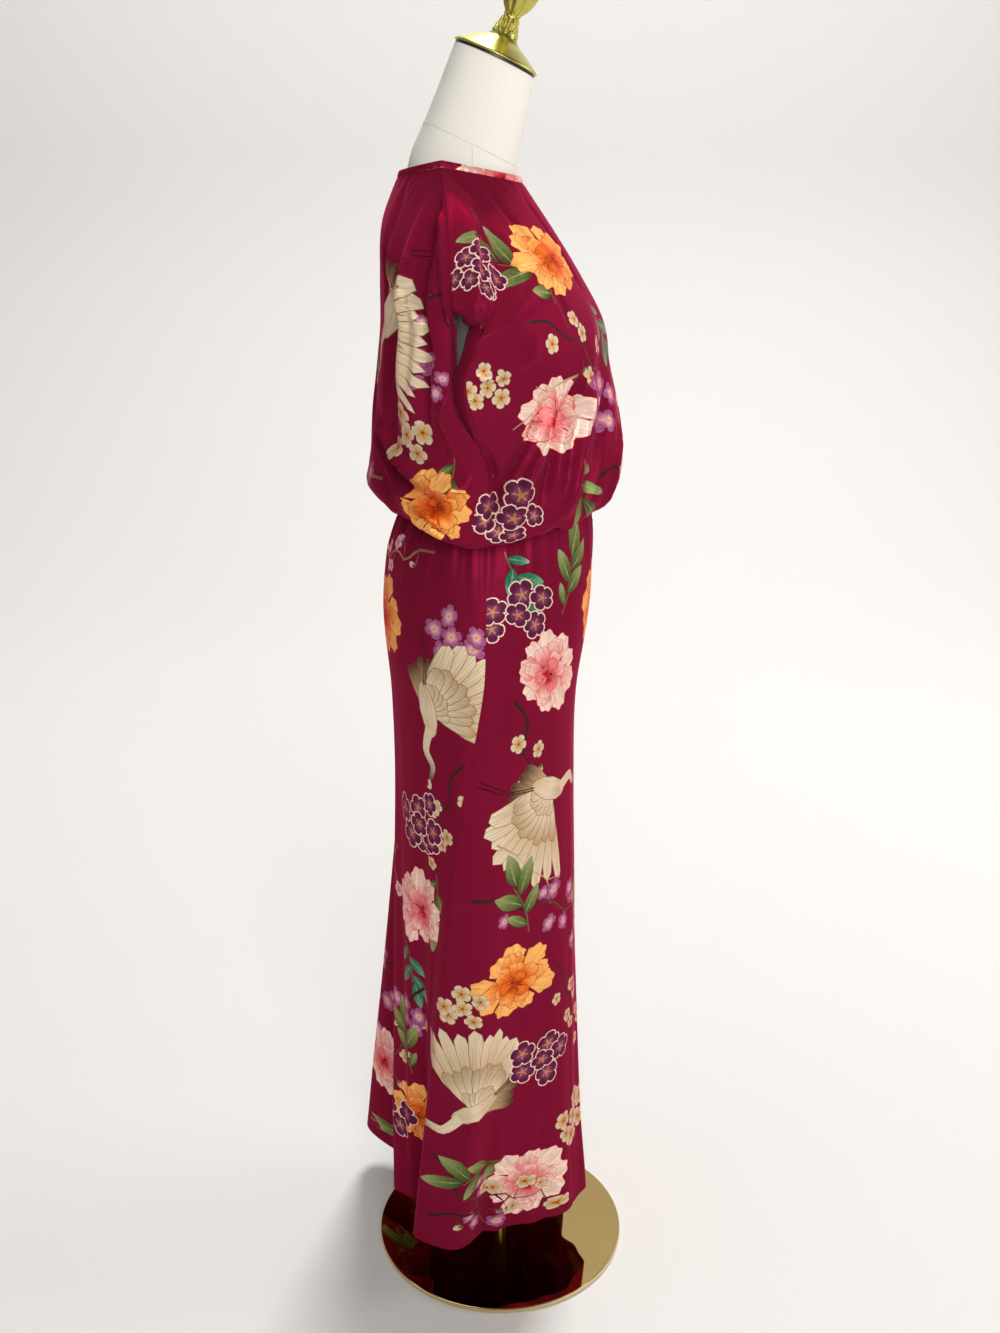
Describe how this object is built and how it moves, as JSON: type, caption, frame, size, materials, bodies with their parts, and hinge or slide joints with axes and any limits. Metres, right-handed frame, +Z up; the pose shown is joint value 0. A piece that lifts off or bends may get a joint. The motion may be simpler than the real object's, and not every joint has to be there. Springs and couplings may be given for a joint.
{
  "type": "printed silk top and skirt set on a limbless dress form",
  "caption": "Printed silk blouson top with cap sleeves and a long fluted skirt on a limbless white dress form with a gold neck cap, pole and round mirror base plate.",
  "frame": {"origin": "centre of the round base plate's underside, on the floor", "axes": "+Z up along the pole; -Y is the garment's front; -X is the wearer's right side"},
  "size_m": [0.473, 0.3802, 1.6746],
  "materials": {
    "silk": "printed silk satin",
    "form_cover": "matt white stretch cover",
    "polished_gold": "polished gold plating",
    "mirror_gold": "mirror polished gold plating"
  },
  "bodies": {
    "root": {"top_front": "silk", "top_back": "silk", "neck_binding": "silk", "skirt_front": "silk", "skirt_back": "silk", "form_body": "form_cover", "neck_cap": "polished_gold", "finial": "polished_gold", "pole": "polished_gold", "base_plate": "mirror_gold"}
  },
  "joints": []
}
